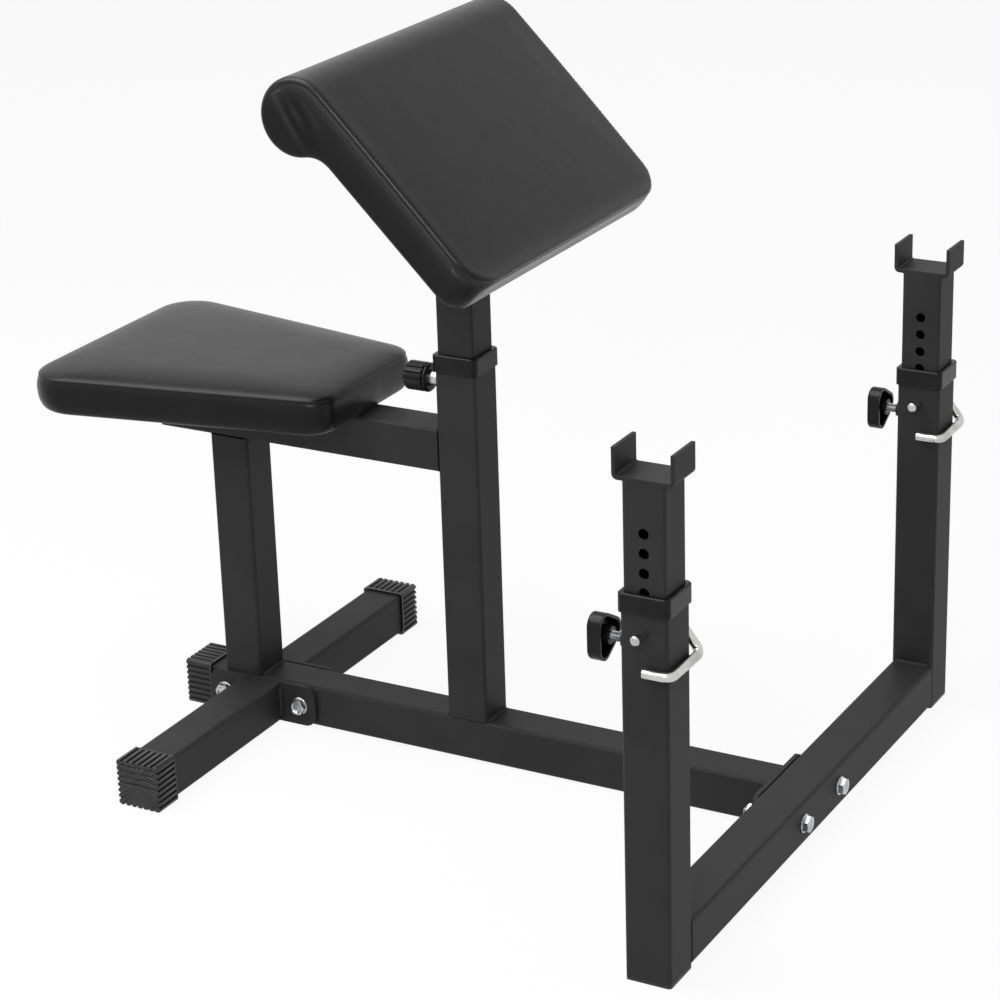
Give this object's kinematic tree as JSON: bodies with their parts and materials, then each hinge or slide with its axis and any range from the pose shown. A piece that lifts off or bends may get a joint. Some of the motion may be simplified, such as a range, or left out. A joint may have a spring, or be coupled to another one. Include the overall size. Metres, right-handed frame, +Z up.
{
  "type": "preacher curl bench",
  "caption": "Preacher curl bench with a trapezoid seat, slanted arm pad on a telescoping post and adjustable bar rests on front uprights, black tube frame",
  "frame": {"origin": "on the floor, in the middle of the bench's footprint; the pad column's axis is 25.5 mm in front of it", "axes": "+Z up, +Y to the rear where the seat is, -Y to the front where the bar rests are, X across the bench"},
  "size_m": [0.7925, 0.9215, 0.8324],
  "materials": {
    "black_coat": "satin powder coat",
    "zinc": "bright zinc plate",
    "black_plastic": "moulded, half gloss",
    "black_rubber": "moulded, matt",
    "vinyl": "soft grained vinyl over foam",
    "plywood": "raw plywood"
  },
  "bodies": {
    "frame": {"column_collar": "black_plastic", "front_bolts": "zinc", "front_cross_beam": "black_coat", "front_end_plate": "black_coat", "front_nuts": "zinc", "front_washers": "zinc", "left_collar": "black_plastic", "left_foot_plug": "black_rubber", "left_stabiliser": "black_coat", "left_stabiliser_cap": "black_rubber", "left_stabiliser_plate": "black_coat", "left_upright": "black_coat", "left_weld_nut": "black_coat", "main_beam": "black_coat", "main_beam_cap": "black_rubber", "pad_column": "black_coat", "plunger_sleeve": "zinc", "plunger_spring": "zinc", "right_collar": "black_plastic", "right_foot_plug": "black_rubber", "right_stabiliser": "black_coat", "right_stabiliser_cap": "black_rubber", "right_stabiliser_plate": "black_coat", "right_upright": "black_coat", "right_weld_nut": "black_coat", "seat_beam": "black_coat", "seat_beam_plug": "black_plastic", "seat_board": "plywood", "seat_bolts": "zinc", "seat_pad": "vinyl", "seat_post": "black_coat", "seat_tee_nuts": "zinc", "seat_washers": "zinc", "stabiliser_bolts": "zinc", "stabiliser_nuts": "zinc", "stabiliser_washers": "zinc"},
    "arm_rest": {"pad_post": "black_coat", "pad_plate": "black_coat", "pad_screws": "zinc", "arm_board": "plywood", "arm_pad": "vinyl"},
    "plunger": {"plunger_pin": "zinc", "plunger_knob": "black_plastic"},
    "left_rest": {"left_rest_post": "black_coat", "left_rest_saddle": "black_coat"},
    "right_rest": {"right_rest_post": "black_coat", "right_rest_saddle": "black_coat"},
    "left_knob": {"left_lock_knob": "black_plastic", "left_lock_stud": "zinc"},
    "right_knob": {"right_lock_knob": "black_plastic", "right_lock_stud": "zinc"},
    "left_pin": {"left_locking_pin": "zinc"},
    "right_pin": {"right_locking_pin": "zinc"}
  },
  "joints": [
    {"name": "arm_pad_height", "type": "slide", "parent": "frame", "child": "arm_rest", "axis": [0, 0, 1], "range_m": [-0.1, 0.05]},
    {"name": "plunger_pull", "type": "slide", "parent": "frame", "child": "plunger", "axis": [0, 1, 0], "range_m": [0, 0.01], "stiffness_N_per_m": 600, "springref_m": -0.008, "deforming": ["plunger_spring"]},
    {"name": "left_rest_height", "type": "slide", "parent": "frame", "child": "left_rest", "axis": [0, 0, 1], "range_m": [-0.1, 0.02]},
    {"name": "left_knob_turn", "type": "hinge", "parent": "frame", "child": "left_knob", "pos_m": [-0.353, -0.4005, 0.358], "axis": [0, 1, 0], "continuous": true},
    {"name": "left_pin_swing", "type": "hinge", "parent": "frame", "child": "left_pin", "pos_m": [-0.353, -0.4255, 0.378], "axis": [-1, 0, 0], "range_deg": [0, 90]},
    {"name": "right_rest_height", "type": "slide", "parent": "frame", "child": "right_rest", "axis": [0, 0, 1], "range_m": [-0.1, 0.02]},
    {"name": "right_knob_turn", "type": "hinge", "parent": "frame", "child": "right_knob", "pos_m": [0.353, -0.4005, 0.358], "axis": [0, 1, 0], "continuous": true},
    {"name": "right_pin_swing", "type": "hinge", "parent": "frame", "child": "right_pin", "pos_m": [0.353, -0.4255, 0.378], "axis": [-1, 0, 0], "range_deg": [0, 90]}
  ]
}
